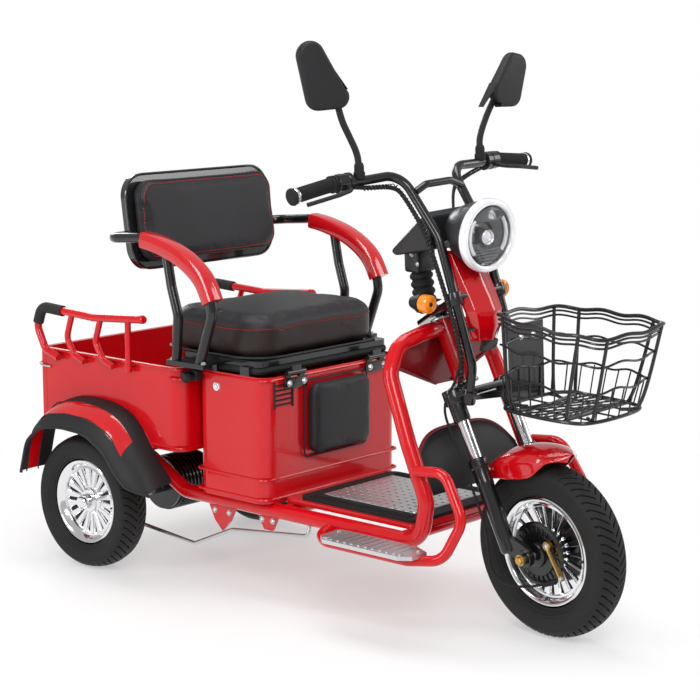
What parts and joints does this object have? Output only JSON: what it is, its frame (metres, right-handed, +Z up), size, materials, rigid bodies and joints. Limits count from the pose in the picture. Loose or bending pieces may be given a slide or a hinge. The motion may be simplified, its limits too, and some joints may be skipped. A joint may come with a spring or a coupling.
{
  "type": "electric tricycle",
  "caption": "Step-through electric leisure tricycle with armchair seat, small cargo bed, wire front basket and floor boards.",
  "frame": {"origin": "middle of the overall box, on the ground", "axes": "+X forward, +Y to the rider's left, +Z up"},
  "size_m": [1.7232, 0.784, 1.367],
  "materials": {
    "red_paint": "gloss",
    "dark_red_paint": "satin",
    "black_paint": "satin",
    "black_plastic": "matte",
    "red_plastic": "gloss",
    "black_leatherette": "satin",
    "foam": "matte",
    "mat_rubber": "matte",
    "tread_plate": "brushed",
    "battery_case": "matte",
    "tyre": "matte",
    "rim_metal": "bright",
    "steel": "satin",
    "grip_rubber": "matte",
    "lamp_metal": "bright",
    "lamp_glass": "clear",
    "amber": "clear",
    "basket_wire": "satin",
    "display": "gloss"
  },
  "bodies": {
    "chassis": {"frame_tubes": "red_paint", "head_gussets": "dark_red_paint", "splash_shield": "black_plastic", "frame_brackets": "red_paint", "crash_loops": "red_paint", "floor_pan": "red_paint", "floor_mat": "mat_rubber", "step_plates": "tread_plate", "seat_box": "red_paint", "battery_pack": "battery_case", "calf_pad": "black_leatherette", "cargo_bed": "red_paint", "tailgate_hinges": "red_paint", "bed_rails": "red_paint", "rail_sleeves": "foam", "rear_fenders": "black_plastic", "rear_axle": "black_paint", "rear_springs": "black_paint", "brake_rod": "steel", "seat_hinges": "black_paint"},
    "seat": {"seat_base": "black_paint", "seat_cushion": "black_leatherette", "backrest_cushion": "black_leatherette", "backrest_shell": "black_plastic", "arm_frames": "black_paint", "armrest_pads": "red_plastic"},
    "tailgate": {"tailgate": "red_paint"},
    "steering": {"fork_crown": "black_paint", "fork_legs": "black_paint", "front_axle": "steel", "front_brake": "black_paint", "handlebar": "black_paint", "grips": "grip_rubber", "controls": "black_paint", "steering_boot": "grip_rubber", "brake_cable": "grip_rubber", "mirrors": "black_plastic", "lamp_bucket": "black_plastic", "lamp_ring": "lamp_metal", "lamp_lens": "lamp_glass", "front_panel": "red_plastic", "dash": "display", "signal_housings": "black_plastic", "signal_lenses": "amber", "front_fender": "red_plastic", "basket": "basket_wire", "basket_bracket": "black_paint"},
    "front_wheel": {"front_tyre": "tyre", "front_rim": "rim_metal"},
    "rear_wheel_right": {"rear_tyre_right": "tyre", "rear_rim_right": "rim_metal"},
    "rear_wheel_left": {"rear_tyre_left": "tyre", "rear_rim_left": "rim_metal"}
  },
  "joints": [
    {"name": "steer", "type": "hinge", "parent": "chassis", "child": "steering", "pos_m": [0.2975, 0, 0.62], "axis": [-0.4384, 0, 0.8988], "range_deg": [-27, 43]},
    {"name": "front_wheel_spin", "type": "hinge", "parent": "steering", "child": "front_wheel", "pos_m": [0.58681, -0.01096, 0.20466], "axis": [0.1251, 0.9903, 0.061], "continuous": true},
    {"name": "rear_wheel_right_spin", "type": "hinge", "parent": "chassis", "child": "rear_wheel_right", "pos_m": [-0.6525, -0.311, 0.174], "axis": [0, 1, 0], "continuous": true},
    {"name": "rear_wheel_left_spin", "type": "hinge", "parent": "chassis", "child": "rear_wheel_left", "pos_m": [-0.6525, 0.311, 0.174], "axis": [0, 1, 0], "continuous": true},
    {"name": "seat_tip", "type": "hinge", "parent": "chassis", "child": "seat", "pos_m": [-0.0805, 0, 0.558], "axis": [0, 1, 0], "range_deg": [0, 35]},
    {"name": "tailgate_drop", "type": "hinge", "parent": "chassis", "child": "tailgate", "pos_m": [-0.8475, 0, 0.336], "axis": [0, -1, 0], "range_deg": [0, 90]}
  ]
}
